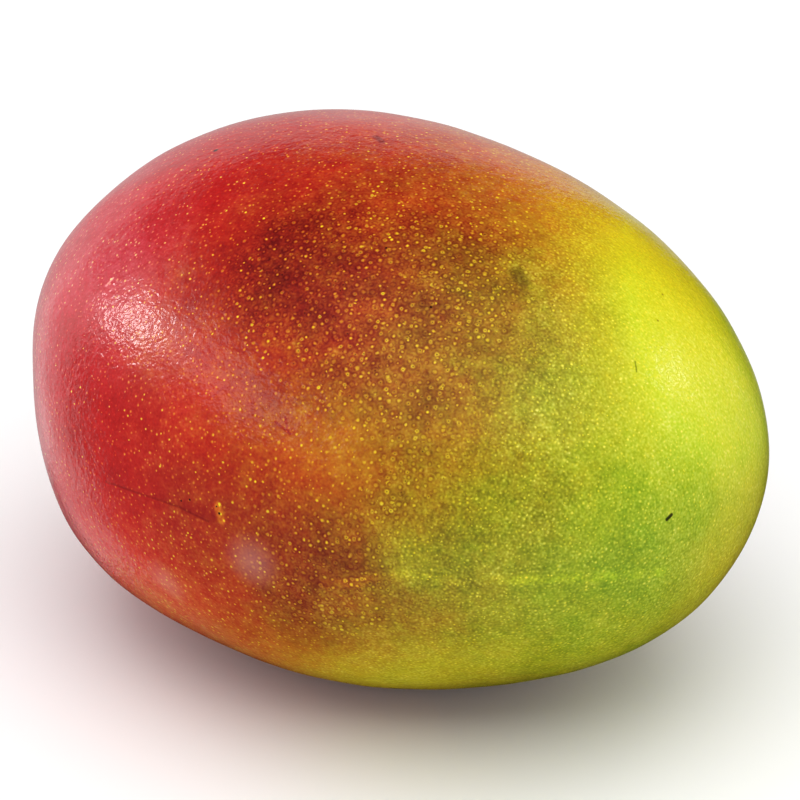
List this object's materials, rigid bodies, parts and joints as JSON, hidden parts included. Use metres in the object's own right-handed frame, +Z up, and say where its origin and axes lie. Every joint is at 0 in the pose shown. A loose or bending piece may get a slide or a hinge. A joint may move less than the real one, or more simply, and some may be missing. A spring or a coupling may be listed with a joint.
{
  "type": "mango",
  "caption": "Whole ripe mango, a rounded oval fruit blushed red at the stem end and green at the tip, lying on its cheek.",
  "frame": {"origin": "under the middle of the fruit, on the surface that it lies on", "axes": "+X along the fruit from the stem end to the tip, +Y to its fuller dorsal edge, +Z up through both cheeks"},
  "size_m": [0.1264, 0.1014, 0.0867],
  "materials": {
    "skin": "waxy fruit skin, satin, red through orange and yellow to green, with small pale dots all over"
  },
  "bodies": {
    "root": {"mango": "skin"}
  },
  "joints": []
}
